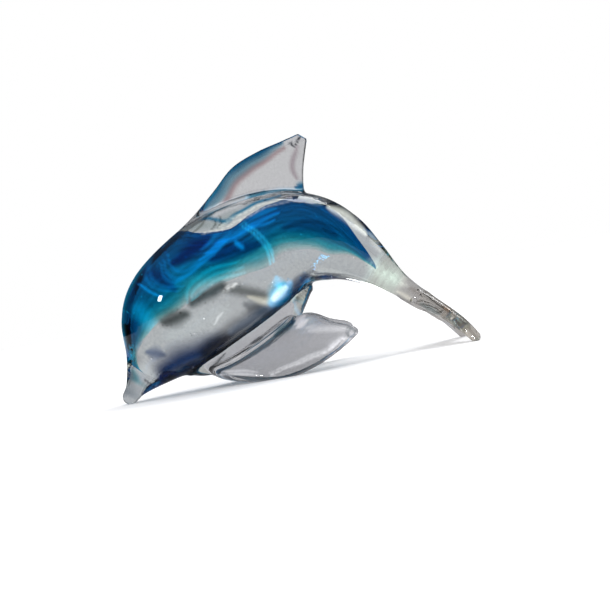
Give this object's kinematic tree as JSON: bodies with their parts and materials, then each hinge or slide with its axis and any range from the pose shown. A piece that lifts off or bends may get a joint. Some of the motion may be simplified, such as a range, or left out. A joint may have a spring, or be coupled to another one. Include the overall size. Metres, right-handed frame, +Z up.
{
  "type": "glass dolphin figurine",
  "caption": "Leaping dolphin in solid clear and blue glass, standing on its beak, pectoral fins and flukes.",
  "frame": {"origin": "on the surface that the figurine stands on, under the middle of its box", "axes": "+Z up, -X towards the beak and +X towards the flukes, -Y towards the dolphin's left side"},
  "size_m": [0.1772, 0.0764, 0.1159],
  "materials": {
    "clear_glass": "fire-polished, faintly grey clear glass",
    "core_glass": "clear glass inside, with a few seeds",
    "blue_glass": "transparent deep blue glass, teal where it is thin"
  },
  "bodies": {
    "root": {"clear_core": "core_glass", "blue_overlay": "blue_glass", "clear_casing": "clear_glass", "beak": "clear_glass", "tail_stalk": "clear_glass", "belly_gather": "clear_glass", "dorsal_fin": "clear_glass", "left_pectoral_fin": "clear_glass", "right_pectoral_fin": "clear_glass", "left_fluke": "clear_glass", "right_fluke": "clear_glass"}
  },
  "joints": []
}
